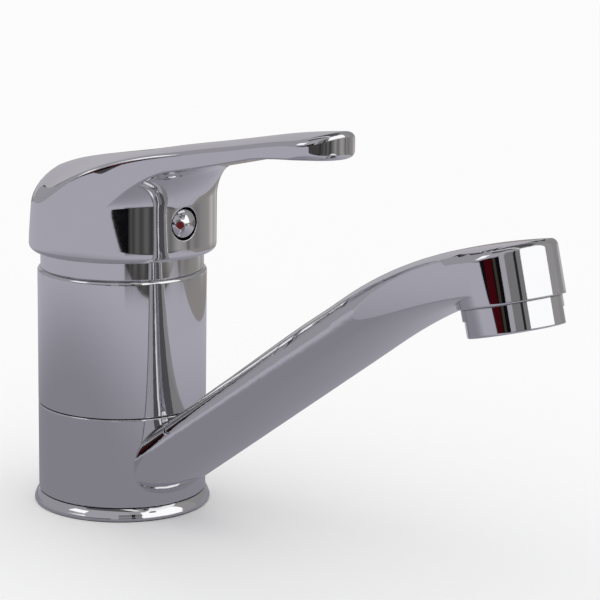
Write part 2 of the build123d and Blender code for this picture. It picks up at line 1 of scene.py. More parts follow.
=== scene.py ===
"""Looks of a single-lever basin mixer tap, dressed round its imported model. Metres, +Z up."""
import bpy
import numpy as np
from math import atan2, cos, hypot, pi, radians, sin, sqrt, tan
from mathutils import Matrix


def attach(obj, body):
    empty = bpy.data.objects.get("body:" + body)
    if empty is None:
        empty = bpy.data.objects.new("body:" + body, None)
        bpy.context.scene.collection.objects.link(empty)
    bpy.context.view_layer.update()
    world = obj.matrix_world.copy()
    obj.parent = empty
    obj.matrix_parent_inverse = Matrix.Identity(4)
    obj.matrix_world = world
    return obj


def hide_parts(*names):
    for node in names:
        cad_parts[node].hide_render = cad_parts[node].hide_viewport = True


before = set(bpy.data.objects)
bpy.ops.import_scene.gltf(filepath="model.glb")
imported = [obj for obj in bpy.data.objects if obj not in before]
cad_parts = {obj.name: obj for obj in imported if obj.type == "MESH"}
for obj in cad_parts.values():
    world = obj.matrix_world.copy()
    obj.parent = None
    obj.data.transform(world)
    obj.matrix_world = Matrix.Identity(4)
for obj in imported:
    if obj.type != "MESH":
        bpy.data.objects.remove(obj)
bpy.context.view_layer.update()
bpy.ops.object.select_all(action="DESELECT")


# Camera. It stands where the photograph was taken from, 0.65 m away, in front of the tap, to its
# left and a little above it, and looks at it through a long lens.
CAMERA_PLACE = (-0.41029, -0.48896, 0.19784)
CAMERA_TURN = (77.908, -0.919, -44.543)
CAMERA_LENS = 131.46
CAMERA_SENSOR = 36.0
NEAREST_SEEN = 0.01
bpy.ops.object.camera_add(location=CAMERA_PLACE, rotation=[radians(a) for a in CAMERA_TURN])
camera = bpy.context.object
camera.data.lens = CAMERA_LENS
camera.data.sensor_width = CAMERA_SENSOR
camera.data.clip_start = NEAREST_SEEN
bpy.context.scene.camera = camera


# Floor and daylight. A pale matt floor that fades into a white surround, lit softly from all round.
# Nothing stands on it but the tap, so only the tap's own soft shadow shows.
FLOOR_SIDE = 8.0
FLOOR_COLOR = (0.97, 0.97, 0.97, 1)
FLOOR_ROUGHNESS = 0.9
DAYLIGHT = 1.0
bpy.ops.mesh.primitive_plane_add(size=FLOOR_SIDE, location=(0, 0, 0))
floor = bpy.context.object
floor.name = "floor"
floor_paint = bpy.data.materials.new("pale_floor")
floor_paint.use_nodes = True
floor_shader = floor_paint.node_tree.nodes["Principled BSDF"]
floor_shader.inputs["Base Color"].default_value = FLOOR_COLOR
floor_shader.inputs["Roughness"].default_value = FLOOR_ROUGHNESS
floor_shader.inputs["Specular IOR Level"].default_value = 0.0
floor.data.materials.append(floor_paint)

world = bpy.data.worlds.new("studio_air")
world.use_nodes = True
bpy.context.scene.world = world
air = world.node_tree.nodes["Background"]
air.inputs["Color"].default_value = (1, 1, 1, 1)
air.inputs["Strength"].default_value = DAYLIGHT


# Photographer's cards, which show only in reflections. Grey paper, brown board and dark cloth lie on
# the floor. Round the tap stand dark flags, a white panel, high windows and plain walls, and over it
# hangs a dark ceiling with one lamp.
CARD_DISTANCE = 1.6
CARD_EYE = 0.08
CAMERA_BEARING = atan2(CAMERA_PLACE[1], CAMERA_PLACE[0])
BLACK = (0.004, 0.004, 0.005)
WHITE = (1.2, 1.2, 1.2)


def card(name, corners, color):
    """Flat glowing card through four corners, seen in reflections only."""
    bpy.ops.mesh.primitive_plane_add(size=1.0)
    piece = bpy.context.object
    piece.name = name
    for vertex, place in zip(piece.data.vertices, corners):
        vertex.co = place
    glow = bpy.data.materials.new(name)
    glow.use_nodes = True
    nodes = glow.node_tree.nodes
    nodes.clear()
    emission = nodes.new("ShaderNodeEmission")
    emission.inputs["Color"].default_value = (*color, 1)
    output = nodes.new("ShaderNodeOutputMaterial")
    glow.node_tree.links.new(emission.outputs[0], output.inputs["Surface"])
    piece.data.materials.append(glow)
    piece.visible_camera = False
    piece.visible_diffuse = False
    piece.visible_shadow = False
    piece.visible_transmission = False


def level_card(name, west, east, south, north, height, color):
    """Level card at a height, between four coordinates."""
    card(name, [(x, y, height) for y in (south, north) for x in (west, east)], color)


def wedge_card(name, left, right, distances, height, color):
    """Level card between two distances, and at each of them between two bearings from the camera's."""
    corners = []
    for distance, turns in zip(distances, zip(left, right)):
        for turn in turns:
            bearing = CAMERA_BEARING + radians(turn)
            corners.append((distance * cos(bearing), distance * sin(bearing), height))
    card(name, corners, color)


def wall_card(name, left, right, low, high, color, distance=CARD_DISTANCE):
    """Upright card between two bearings from the camera's, and two elevations, each left and right."""
    corners = []
    for level in (low, high):
        for turn, rise in zip((left, right), level):
            bearing = CAMERA_BEARING + radians(turn)
            height = CARD_EYE + distance * tan(radians(rise))
            corners.append((distance * cos(bearing), distance * sin(bearing), height))
    card(name, corners, color)


FLOOR_REACH = 3.0
WHOLE_FLOOR = (-FLOOR_REACH, FLOOR_REACH, -FLOOR_REACH, FLOOR_REACH)
PAPER_EDGE = -0.33
PAPER_SIDE = 0.26
BOARD_Z = 0.0003
PAPER_Z = 0.0004
STRIPES_Z = 0.0005
WEDGE_Z = 0.0006
level_card("dark_cloth", -FLOOR_REACH, FLOOR_REACH, -FLOOR_REACH, PAPER_EDGE, BOARD_Z, (0.06, 0.056, 0.056))
level_card("grey_paper", -FLOOR_REACH, PAPER_SIDE, PAPER_EDGE, FLOOR_REACH, PAPER_Z, (0.44, 0.43, 0.485))
level_card("brown_board", PAPER_SIDE, FLOOR_REACH, -FLOOR_REACH, FLOOR_REACH, BOARD_Z, (0.28, 0.265, 0.255))


def glow_of(name):
    """Nodes and links of a card's material, and the light that it gives."""
    tree = bpy.data.materials[name].node_tree
    return tree.nodes, tree.links, tree.nodes["Emission"]


def floor_distance(nodes, links, near, far, middle=(0, 0, 0)):
    """Place on a card, and 0 nearer to a middle than one distance, 1 past another, soft between."""
    place = nodes.new("ShaderNodeTexCoord")
    length = nodes.new("ShaderNodeVectorMath")
    length.operation = "DISTANCE"
    length.inputs[1].default_value = middle
    links.new(place.outputs["Object"], length.inputs[0])
    share = nodes.new("ShaderNodeMapRange")
    share.interpolation_type = "SMOOTHSTEP"
    share.inputs["From Min"].default_value = near
    share.inputs["From Max"].default_value = far
    links.new(length.outputs["Value"], share.inputs["Value"])
    return place, share


def shade_near(name, color, near, far, middle):
    """Darkens a level card towards a middle, as the tap's own shade does."""
    nodes, links, glow = glow_of(name)
    share = floor_distance(nodes, links, near, far, middle)[1]
    tone = nodes.new("ShaderNodeMix")
    tone.data_type = "RGBA"
    tone.inputs["A"].default_value = (*color, 1)
    tone.inputs["B"].default_value = glow.inputs["Color"].default_value
    links.new(share.outputs["Result"], tone.inputs["Factor"])
    links.new(tone.outputs["Result"], glow.inputs["Color"])


shade_near("grey_paper", color=(0.26, 0.255, 0.29), near=0.08, far=0.32, middle=(-0.08, 0.03, 0))

# Stripes of the cloth: degrees right of the camera's bearing, brightness, and how far it covers.
STRIPES = (
    (2, 0.05, 0), (4, 0.04, 1), (8, 0.035, 1), (10, 0.09, 1), (12, 0.05, 1), (17, 0.11, 1), (22, 0.06, 1),
    (28, 0.13, 1), (34, 0.05, 1), (42, 0.16, 1), (50, 0.30, 1), (58, 0.17, 1), (70, 0.36, 1), (80, 0.30, 1),
    (84, 0.14, 1), (90, 0.26, 1), (98, 0.20, 1), (112, 0.27, 1), (124, 0.30, 1), (137, 0.5, 1),
    (146, 0.36, 1), (154, 0.55, 1), (166, 0.40, 0),
)
STRIPE_TINT = (1, 0.97, 0.95)
STRAIGHT_AHEAD = 0.5
FULL_TURN = 360


def spread_stripes(name, stripes, near, far):
    """Fans stripes over a level card by their bearing, and clears it near the tap."""
    nodes, links, glow = glow_of(name)
    place, share = floor_distance(nodes, links, near, far)
    turn = nodes.new("ShaderNodeMapping")
    turn.inputs["Rotation"].default_value = (0, 0, -CAMERA_BEARING)
    links.new(place.outputs["Object"], turn.inputs["Vector"])
    bearing = nodes.new("ShaderNodeTexGradient")
    bearing.gradient_type = "RADIAL"
    links.new(turn.outputs["Vector"], bearing.inputs["Vector"])
    fan = nodes.new("ShaderNodeValToRGB")
    fan.color_ramp.interpolation = "EASE"
    tones = fan.color_ramp.elements
    while len(tones) < len(stripes):
        tones.new(STRAIGHT_AHEAD)
    for tone, (degrees_right, level, cover) in zip(tones, stripes):
        tone.position = STRAIGHT_AHEAD + degrees_right / FULL_TURN
        tone.color = (*[level * part for part in STRIPE_TINT], cover)
    links.new(bearing.outputs["Fac"], fan.inputs["Fac"])
    links.new(fan.outputs["Color"], glow.inputs["Color"])
    cover = nodes.new("ShaderNodeMath")
    cover.operation = "MULTIPLY"
    links.new(fan.outputs["Alpha"], cover.inputs[0])
    links.new(share.outputs["Result"], cover.inputs[1])
    clear = nodes.new("ShaderNodeBsdfTransparent")
    mix = nodes.new("ShaderNodeMixShader")
    links.new(cover.outputs["Value"], mix.inputs["Fac"])
    links.new(clear.outputs[0], mix.inputs[1])
    links.new(glow.outputs[0], mix.inputs[2])
    links.new(mix.outputs[0], nodes["Material Output"].inputs["Surface"])


level_card("striped_cloth", *WHOLE_FLOOR, STRIPES_Z, BLACK)
spread_stripes("striped_cloth", STRIPES, near=0.30, far=0.44)
# Painted shadow: a black wedge on the floor, seen only in reflections, for the shadow of the camera and its
# stand.
wedge_card("painted_camera_shadow", left=(4, -15), right=(7, 7), distances=(0.42, 0.57), height=WEDGE_Z, color=BLACK)

# Bearings of the left and right edges, elevations of the foot and top, colour and distance.
FOOT = (-3, -3)
WALL_TOP = (56, 56)
WINDOW_TURN = 42
WINDOW_STARTS = (-134, -92, -50)
wall_card("black_flag", -72, -8, FOOT, (-1, 11), BLACK)
wall_card("red_flag", -45, -30, FOOT, (1, 5), (0.05, 0.0025, 0.005), 1.28)
wall_card("olive_flag", -27, -22, FOOT, (6, 7), (0.05, 0.043, 0.03), 1.27)
wall_card("grey_flag", -8, 26, FOOT, (24, 24), (0.20, 0.195, 0.2))
wall_card("dark_post", 12, 17, FOOT, (26, 26), (0.02, 0.02, 0.02), 1.5)
wall_card("white_panel", 26, 84, (0, 0), (38, 38), WHITE, 1.5)
wall_card("side_wall", 70, 110, FOOT, WALL_TOP, (0.32, 0.31, 0.31), 1.7)
wall_card("far_wall", 110, 165, FOOT, WALL_TOP, (0.28, 0.275, 0.275), 1.7)
wall_card("back_wall", 165, 205, FOOT, WALL_TOP, (0.46, 0.45, 0.48), 1.75)
wall_card("dark_shelf", -155, -135, (12, 12), (25, 25), (0.10, 0.098, 0.1))
for number, left in enumerate(WINDOW_STARTS):
    wall_card(f"high_window_{number}", left, left + WINDOW_TURN, (17, 17), (38, 38), WHITE)
wall_card("left_wall", -155, -66, FOOT, WALL_TOP, (0.34, 0.33, 0.36), 1.75)
wall_card("front_wall", -66, 10, FOOT, WALL_TOP, (0.40, 0.39, 0.42), 1.85)
wall_card("right_wall", 8, 56, FOOT, WALL_TOP, (0.36, 0.35, 0.36), 1.85)

CEILING_Z = 2.4
LAMP_Z = 2.39
level_card("ceiling", *WHOLE_FLOOR, CEILING_Z, (0.10, 0.10, 0.105))
level_card("ceiling_lamp", -0.5, -0.2, -2, 2, LAMP_Z, (0.9, 0.9, 0.9))


# Valve body. A turned brass stem and cup in one, which carries all the rest. It is polished and
# plated with nickel and chrome: a hard, faintly cool mirror with the least ripple of hand polishing.
PATCH_DETAIL = 5
PATCH_RANGE = (0.3, 0.7)
LEAST_ROUGHNESS = 0.02


def paint(name, color, roughness, metallic=0.0, *, grain, shade, wear, relief):
    """Material whose colour, gloss and height vary in patches of the size of its grain."""
    material = bpy.data.materials.new(name)
    material.use_nodes = True
    nodes, links = material.node_tree.nodes, material.node_tree.links
    shader = nodes["Principled BSDF"]
    shader.inputs["Metallic"].default_value = metallic
    place = nodes.new("ShaderNodeTexCoord")
    patches = nodes.new("ShaderNodeTexNoise")
    patches.inputs["Scale"].default_value = 1 / grain
    patches.inputs["Detail"].default_value = PATCH_DETAIL
    links.new(place.outputs["Object"], patches.inputs["Vector"])
    tint = nodes.new("ShaderNodeMix")
    tint.name = "tint"
    tint.data_type = "RGBA"
    tint.inputs["A"].default_value = (*[c * (1 - shade) for c in color], 1)
    tint.inputs["B"].default_value = (*[min(1, c * (1 + shade)) for c in color], 1)
    links.new(patches.outputs["Fac"], tint.inputs["Factor"])
    links.new(tint.outputs["Result"], shader.inputs["Base Color"])
    gloss = nodes.new("ShaderNodeMapRange")
    gloss.inputs["From Min"].default_value = PATCH_RANGE[0]
    gloss.inputs["From Max"].default_value = PATCH_RANGE[1]
    gloss.inputs["To Min"].default_value = max(LEAST_ROUGHNESS, roughness - wear)
    gloss.inputs["To Max"].default_value = roughness + wear
    links.new(patches.outputs["Fac"], gloss.inputs["Value"])
    links.new(gloss.outputs["Result"], shader.inputs["Roughness"])
    bump = nodes.new("ShaderNodeBump")
    bump.name = "relief"
    bump.inputs["Distance"].default_value = relief
    links.new(patches.outputs["Fac"], bump.inputs["Height"])
    links.new(bump.outputs["Normal"], shader.inputs["Normal"])
    return material


def shader_of(material):
    """Shader of a finish, which holds its plain values."""
    return material.node_tree.nodes["Principled BSDF"]


TURNED_EDGE = 0.0004
# Painted shade in seams and creases: how far it reaches, its colour, and the occlusion over which it fades
# out.
SEAM_SHADE_REACH = 0.0009
SEAM_SHADE_COLOR = (0.03, 0.03, 0.032, 1)
SEAM_SHADE_RANGE = (0.35, 0.85)
SAMPLES = 8


def chrome_plate(name, edge_round):
    """Polished chrome whose edges read as broken by the polisher, with painted shade darkening its seams
    and creases.
    """
    material = paint(name, (0.80, 0.80, 0.82), roughness=0.035, metallic=1.0,
                     grain=0.012, shade=0.015, wear=0.012, relief=0.000004)
    nodes, links = material.node_tree.nodes, material.node_tree.links
    soft_edge = nodes.new("ShaderNodeBevel")
    soft_edge.samples = SAMPLES
    soft_edge.inputs["Radius"].default_value = edge_round
    links.new(soft_edge.outputs[0], nodes["relief"].inputs["Normal"])
    # Painted shade: the colour goes near black where ambient occlusion finds other surfaces close by, in
    # seams and creases.
    seam = nodes.new("ShaderNodeAmbientOcclusion")
    seam.samples = SAMPLES
    seam.inputs["Distance"].default_value = SEAM_SHADE_REACH
    open_share = nodes.new("ShaderNodeMapRange")
    open_share.interpolation_type = "SMOOTHSTEP"
    open_share.inputs["From Min"].default_value = SEAM_SHADE_RANGE[0]
    open_share.inputs["From Max"].default_value = SEAM_SHADE_RANGE[1]
    links.new(seam.outputs["AO"], open_share.inputs["Value"])
    seam_shade = nodes.new("ShaderNodeMix")
    seam_shade.data_type = "RGBA"
    seam_shade.inputs["A"].default_value = SEAM_SHADE_COLOR
    links.new(open_share.outputs["Result"], seam_shade.inputs["Factor"])
    links.new(nodes["tint"].outputs["Result"], seam_shade.inputs["B"])
    links.new(seam_shade.outputs["Result"], shader_of(material).inputs["Base Color"])
    return material


def dress(material, *names):
    """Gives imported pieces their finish."""
    for name in names:
        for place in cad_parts[name].material_slots:
            place.material = material


chrome = chrome_plate("polished_chrome", TURNED_EDGE)
dress(chrome, "valve_body")


# Base ring and its gasket. The chromed brass ring hides the edge of the hole in the basin, and the
# black moulded rubber below it seals it. Both lie loose under the body until the stud pulls it down.
rubber = paint("moulded_rubber", (0.032, 0.032, 0.033), roughness=0.62,
               grain=0.0006, shade=0.35, wear=0.12, relief=0.00003)
dress(chrome, "base_ring")
dress(rubber, "base_gasket")


# Collar seals and slide rings. Two greased rubber O-rings keep the water in where the spout turns,
# and a slippery white nylon ring above and below them carries it.
GREASE_COAT = 0.35
NYLON_GLOW = 0.15
NYLON_DEPTH = 0.001
grease = paint("greased_rubber", (0.028, 0.028, 0.030), roughness=0.30,
               grain=0.002, shade=0.3, wear=0.12, relief=0.00001)
shader_of(grease).inputs["Coat Weight"].default_value = GREASE_COAT
dress(grease, "collar_seals")
nylon = paint("moulded_nylon", (0.80, 0.79, 0.74), roughness=0.38,
              grain=0.003, shade=0.05, wear=0.08, relief=0.00001)
shader_of(nylon).inputs["Subsurface Weight"].default_value = NYLON_GLOW
shader_of(nylon).inputs["Subsurface Scale"].default_value = NYLON_DEPTH
dress(nylon, "slide_rings")


# Spout. One brass casting, ground and chromed: a collar that turns on the stem, a flat oval tube
# and a round head. The polisher's belt leaves its edges rounder than those of the turned pieces.
HEAD_ROUND = 0.0016
HEAD_ROUND_STEPS = 6
HEAD_ROUND_START = -0.139
HEAD_MIDDLE = -0.151
HEAD_INNER_R = 0.0125
HEAD_RIM_Z = 0.0905
BELTED_EDGE = 0.0007
SHARP_TURN = radians(28)
MERGE_GAP = 1e-6


def pick(piece):
    """Makes a piece the only one that operators act on."""
    bpy.ops.object.select_all(action="DESELECT")
    piece.select_set(True)
    bpy.context.view_layer.objects.active = piece


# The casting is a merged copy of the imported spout, which keeps its smooth normals. Only the sharp
# edge round the top of its head is given a round.
cast_spout = bpy.data.objects.new("spout_casting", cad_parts["spout"].data.copy())
bpy.context.scene.collection.objects.link(cast_spout)
pick(cast_spout)
bpy.ops.object.mode_set(mode="EDIT")
bpy.ops.mesh.select_mode(type="EDGE")
bpy.ops.mesh.select_all(action="SELECT")
bpy.ops.mesh.remove_doubles(threshold=MERGE_GAP, use_sharp_edge_from_normals=True)
bpy.ops.mesh.select_all(action="DESELECT")
bpy.ops.mesh.edges_select_sharp(sharpness=SHARP_TURN)
bpy.ops.object.mode_set(mode="OBJECT")
spout_mesh = cast_spout.data
rim = []
for edge in spout_mesh.edges:
    ends = [spout_mesh.vertices[i].co for i in edge.vertices]
    middle = (ends[0] + ends[1]) / 2
    outside = abs(middle.x) > HEAD_INNER_R or middle.y < HEAD_MIDDLE
    if edge.select and outside and middle.z > HEAD_RIM_Z and middle.y < HEAD_ROUND_START:
        rim.append(edge.index)
bpy.ops.object.mode_set(mode="EDIT")
bpy.ops.mesh.select_all(action="DESELECT")
bpy.ops.object.mode_set(mode="OBJECT")
for i in rim:
    spout_mesh.edges[i].select = True
bpy.ops.object.mode_set(mode="EDIT")
bpy.ops.mesh.bevel(offset=HEAD_ROUND, segments=HEAD_ROUND_STEPS, clamp_overlap=False,
                   harden_normals=True, affect="EDGES")
bpy.ops.object.mode_set(mode="OBJECT")
spout_chrome = chrome_plate("belted_chrome", BELTED_EDGE)
cast_spout.data.materials.clear()
cast_spout.data.materials.append(spout_chrome)
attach(cast_spout, "spout_arm")
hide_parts("spout")


# Aerator. A chromed brass sleeve with two spanner flats, screwed into the head with a rubber washer.
# Behind a woven steel screen, a grey plastic insert splits the jet and mixes air into it.
OUTLET_TILT = radians(15)
SCREEN_PITCH = 0.0007
WIRE_RELIEF = SCREEN_PITCH / 4
# Painted shade seen through the screen's holes.
HOLE_SHADE_COLOR = (0.01, 0.01, 0.01, 1)
# A wave texture whose scale is 1 repeats at this distance.
WAVE_LENGTH = 0.314
dress(chrome, "aerator_housing")
dress(rubber, "aerator_washer")
plastic = paint("grained_plastic", (0.17, 0.175, 0.185), roughness=0.42,
                grain=0.0004, shade=0.12, wear=0.08, relief=0.00002)
dress(plastic, "aerator_insert")
weave = paint("woven_steel", (0.45, 0.45, 0.46), roughness=0.32, metallic=1.0,
              grain=0.0005, shade=0.1, wear=0.08, relief=0.00001)


def add_wires(material, pitch, depth, tilt):
    """Weaves two sets of wires over a flat screen, with painted shade in the holes between them."""
    nodes, links = material.node_tree.nodes, material.node_tree.links
    place = nodes.new("ShaderNodeTexCoord")
    turn = nodes.new("ShaderNodeMapping")
    turn.inputs["Rotation"].default_value = (tilt, 0, 0)
    links.new(place.outputs["Object"], turn.inputs["Vector"])
    wires = []
    for direction in "XY":
        wave = nodes.new("ShaderNodeTexWave")
        wave.bands_direction = direction
        wave.inputs["Scale"].default_value = WAVE_LENGTH / pitch
        links.new(turn.outputs["Vector"], wave.inputs["Vector"])
        wires.append(wave.outputs["Fac"])
    height = nodes.new("ShaderNodeMath")
    height.operation = "MAXIMUM"
    links.new(wires[0], height.inputs[0])
    links.new(wires[1], height.inputs[1])
    relief = nodes["relief"]
    relief.inputs["Distance"].default_value = depth
    links.new(height.outputs["Value"], relief.inputs["Height"])
    # Painted shade: between the wires the colour goes near black, for the shade seen through the holes.
    hole_shade = nodes.new("ShaderNodeMix")
    hole_shade.data_type = "RGBA"
    hole_shade.inputs["A"].default_value = HOLE_SHADE_COLOR
    links.new(height.outputs["Value"], hole_shade.inputs["Factor"])
    links.new(nodes["tint"].outputs["Result"], hole_shade.inputs["B"])
    links.new(hole_shade.outputs["Result"], shader_of(material).inputs["Base Color"])


add_wires(weave, SCREEN_PITCH, WIRE_RELIEF, OUTLET_TILT)
dress(weave, "aerator_screen")


# Cartridge. A moulded plastic housing with two ceramic discs lapped so flat that water can't pass
# between them. The lower one stays, and the stem pushes the upper one about in its carrier.
CERAMIC_COAT = 0.4
dress(plastic, "cartridge_base", "cartridge_housing")
pale_plastic = paint("milky_plastic", (0.42, 0.42, 0.40), roughness=0.36,
                     grain=0.0005, shade=0.08, wear=0.07, relief=0.00001)
dress(pale_plastic, "stem_carrier", "disc_carrier")
dress(grease, "port_seals")
ceramic = paint("lapped_ceramic", (0.86, 0.85, 0.81), roughness=0.16,
                grain=0.0003, shade=0.04, wear=0.05, relief=0.000002)
shader_of(ceramic).inputs["Coat Weight"].default_value = CERAMIC_COAT
dress(ceramic, "fixed_disc", "moving_disc")
steel = paint("plain_steel", (0.52, 0.52, 0.53), roughness=0.26, metallic=1.0,
              grain=0.0008, shade=0.08, wear=0.08, relief=0.000004)
dress(steel, "stem_pin", "set_screw")


# Stem and nut. Both are turned from brass bar and left bare, so fine tool marks run round them and
# the metal has dulled a little. The nut presses the cartridge down, and a rubber ring sits on it.
TOOL_MARK = 0.0003
TOOL_MARK_DEPTH = TOOL_MARK / 40
TOOL_MARK_WANDER = 0.6
brass = paint("turned_brass", (0.62, 0.44, 0.19), roughness=0.27, metallic=1.0,
              grain=0.002, shade=0.14, wear=0.07, relief=0.000004)


def add_tool_marks(material, pitch, depth):
    """Cuts fine rings round the turning axis, stacked along it and spaced across it."""
    nodes, links = material.node_tree.nodes, material.node_tree.links
    place = nodes.new("ShaderNodeTexCoord")
    marks = nodes.new("ShaderNodeTexWave")
    marks.wave_type = "RINGS"
    marks.rings_direction = "SPHERICAL"
    marks.inputs["Scale"].default_value = WAVE_LENGTH / pitch
    marks.inputs["Distortion"].default_value = TOOL_MARK_WANDER
    links.new(place.outputs["Object"], marks.inputs["Vector"])
    cut = nodes.new("ShaderNodeBump")
    cut.inputs["Distance"].default_value = depth
    links.new(marks.outputs["Fac"], cut.inputs["Height"])
    links.new(cut.outputs["Normal"], nodes["relief"].inputs["Normal"])


add_tool_marks(brass, TOOL_MARK, TOOL_MARK_DEPTH)
dress(brass, "cartridge_nut", "cartridge_stem")
dress(rubber, "cap_seal")


# Cap ring. A thin turned and chromed ring with a domed shoulder, pushed over the rubber ring on the
# nut. It closes the gap under the handle's skirt.
dress(chrome, "cap_ring")


# Lever handle. Cast zinc, polished and chromed in one piece: a round skirt over the cap ring that
# runs out into a slim arm. Polishing breaks its crisp edges, so each is a narrow round. A hub inside
# grips the stem, and a hole in the front of the skirt leads to the screw that clamps it.
SKIRT_R = 0.0278
SKIRT_BORE_R = 0.0256
SKIRT_BOTTOM = 0.0768
SKIRT_EDGE = 0.0016
FLARE_START = 0.0926
FLARE_R = 0.0122
ARM_HALF = 0.010
ARM_SLOPE = radians(13.5)
ARM_FILLET = 0.056
TIP_REACH = 0.0906
TIP_START = 0.078
TIP_LENGTH = 0.008
TOP_WALL = 0.0026
# The top's line from the back to the tip: reach from the axis, height, and radius of its bow across.
CROWN_REACH = (-0.030, -0.024, -0.016, -0.006, 0.006, 0.018, 0.029, 0.040, 0.058, 0.075, 0.095)
CROWN_Z = (0.0930, 0.0988, 0.1021, 0.1040, 0.1061, 0.1083, 0.1105, 0.1125, 0.1158, 0.1189, 0.1213)
CROWN_R = (0.044, 0.042, 0.044, 0.045, 0.060, 0.082, 0.060, 0.035, 0.0275, 0.027, 0.0265)
# Reach and height of three points on the arm's underside, which is an arc from the first one on.
UNDER_ARC = ((0.066, 0.11125), (0.078, 0.11265), (TIP_REACH, 0.1130))


def smooth_line(places, values):
    """Curve through values at places whose bend changes without a jump."""
    places = np.array(places)
    values = np.array(values)
    gap = np.diff(places)
    slope = np.diff(values) / gap
    count = len(places)
    matrix = np.eye(count)
    change = np.zeros(count)
    for i in range(1, count - 1):
        matrix[i, i - 1:i + 2] = gap[i - 1], 2 * (gap[i - 1] + gap[i]), gap[i]
        change[i] = 6 * (slope[i] - slope[i - 1])
    bend = np.linalg.solve(matrix, change)

    def at(where):
        i = np.clip(np.searchsorted(places, where) - 1, 0, count - 2)
        t = where - places[i]
        start = slope[i] - gap[i] * (2 * bend[i] + bend[i + 1]) / 6
        return values[i] + t * (start + t * (bend[i] / 2 + t * (bend[i + 1] - bend[i]) / (6 * gap[i])))
    return at


crown_line = smooth_line(CROWN_REACH, CROWN_Z)
crown_bow = smooth_line(CROWN_REACH, 1 / np.array(CROWN_R))


def crown(x, reach):
    """Height of the handle's top, which is bowed across."""
    bow = crown_bow(reach)
    return crown_line(reach) - (1 - np.sqrt(1 - (x * bow) ** 2)) / bow


def circle_through(a, b, c):
    """Middle and radius of the circle through three points."""
    (x1, y1), (x2, y2), (x3, y3) = a, b, c
    double = 2 * (x1 * (y2 - y3) + x2 * (y3 - y1) + x3 * (y1 - y2))
    s1, s2, s3 = x1 * x1 + y1 * y1, x2 * x2 + y2 * y2, x3 * x3 + y3 * y3
    x = (s1 * (y2 - y3) + s2 * (y3 - y1) + s3 * (y1 - y2)) / double
    y = (s1 * (x3 - x2) + s2 * (x1 - x3) + s3 * (x2 - x1)) / double
    return x, y, hypot(x1 - x, y1 - y)


flare_middle = SKIRT_R + FLARE_R
flare_end = (flare_middle - FLARE_R * sin(ARM_SLOPE), FLARE_START + FLARE_R * cos(ARM_SLOPE))
arc_reach, arc_z, arc_r = circle_through(*UNDER_ARC)


def underside(radius):
    """Height of the flare and the arm's underside at a distance from the axis."""
    flare = FLARE_START + np.sqrt(np.maximum(FLARE_R ** 2 - (flare_middle - radius) ** 2, 0))
    rise = (UNDER_ARC[0][1] - flare_end[1]) / (UNDER_ARC[0][0] - flare_end[0])
    straight = flare_end[1] + (radius - flare_end[0]) * rise
    end = arc_z + np.sqrt(np.maximum(arc_r ** 2 - (radius - arc_reach) ** 2, 0))
    return np.where(radius < flare_end[0], flare, np.where(radius < UNDER_ARC[0][0], straight, end))


SKIRT_POINTS = 64
FILLET_POINTS = 30
ARM_POINTS = 18
TIP_POINTS = 26


def handle_outline():
    """Side, reach and outward direction round the handle seen from above, from the back and round."""
    side = ARM_HALF + ARM_FILLET
    reach = sqrt((SKIRT_R + ARM_FILLET) ** 2 - side ** 2)
    meet = atan2(reach, side)
    tip = TIP_REACH - ARM_HALF
    half = [(SKIRT_R * cos(a), SKIRT_R * sin(a), cos(a), sin(a))
            for a in np.linspace(-pi / 2, meet, SKIRT_POINTS)]
    half += [(side - ARM_FILLET * cos(a), reach - ARM_FILLET * sin(a), cos(a), sin(a))
             for a in np.linspace(meet, 0, FILLET_POINTS)[1:]]
    half += [(ARM_HALF, q, 1, 0) for q in np.linspace(reach, tip, ARM_POINTS)[1:]]
    half += [(ARM_HALF * cos(a), tip + ARM_HALF * sin(a), cos(a), sin(a))
             for a in np.linspace(0, pi / 2, TIP_POINTS)[1:]]
    half = np.array(half)
    other = half[::-1][1:] * (-1, 1, -1, 1)
    return np.vstack([half, other]).T


def rounded(start, corner, end, share):
    """Point on the round that replaces a corner."""
    weight = (1 - share) ** 2, sqrt(2) * share * (1 - share), share ** 2
    return (weight[0] * start + weight[1] * corner + weight[2] * end) / sum(weight)


def points(x, reach, z):
    """Points from their distances sideways, forwards and up."""
    return np.stack([x, -reach, np.broadcast_to(z, x.shape)], axis=1)


def eased(value, start, end):
    """0 before start, 1 after end and a soft change between."""
    share = np.clip((value - start) / (end - start), 0, 1)
    return share * share * (3 - 2 * share)


def shares(count):
    """Even steps above 0, up to 1."""
    return np.linspace(0, 1, count + 1)[1:]


LOW_EDGE = 0.0004
LOW_EDGE_TIP = 0.0018
LOW_EDGE_SHARE = 0.45
TOP_EDGE = 0.0009
TOP_EDGE_TIP = 0.0016
SHOULDER = 0.0062
SHOULDER_START = radians(60)
SHOULDER_END = radians(150)
SHOULDER_FALL = 3
BACK_LEAN = 0.0016
BACK_DRAW = 0.0004
LEAN_TOP = 0.1008
BORE_SHARES = (0.33, 0.66, 1.0)
UNDERSIDE_CROWDING = 1.6
INNER_ROWS = 11
TOUCH = 1e-7


